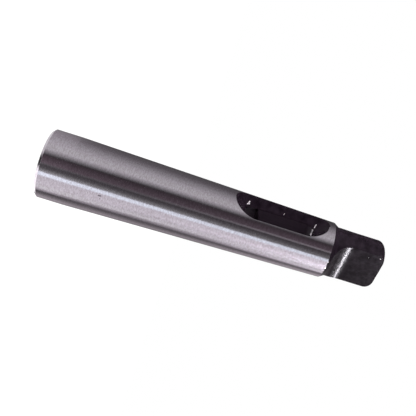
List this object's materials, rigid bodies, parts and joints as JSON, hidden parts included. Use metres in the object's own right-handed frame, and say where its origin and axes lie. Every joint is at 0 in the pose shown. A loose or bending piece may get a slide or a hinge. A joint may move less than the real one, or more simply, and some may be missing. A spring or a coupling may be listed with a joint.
{
  "type": "morse taper sleeve",
  "caption": "Steel reducing sleeve with a tapered socket, a tapered shank, a flat tang and a cross slot for driving the seated tool out.",
  "frame": {"origin": "centre of the big end's face, on which the sleeve stands", "axes": "+Z along the sleeve's axis from the big end to the tang; the drift slot runs through along Y; the tang's flats face +X and -X"},
  "size_m": [0.0182, 0.0182, 0.0905],
  "materials": {
    "sleeve": "ground bright steel outside, black oxide on the tang, the shoulder bevel and the slot"
  },
  "bodies": {
    "root": {"sleeve": "sleeve"}
  },
  "joints": []
}
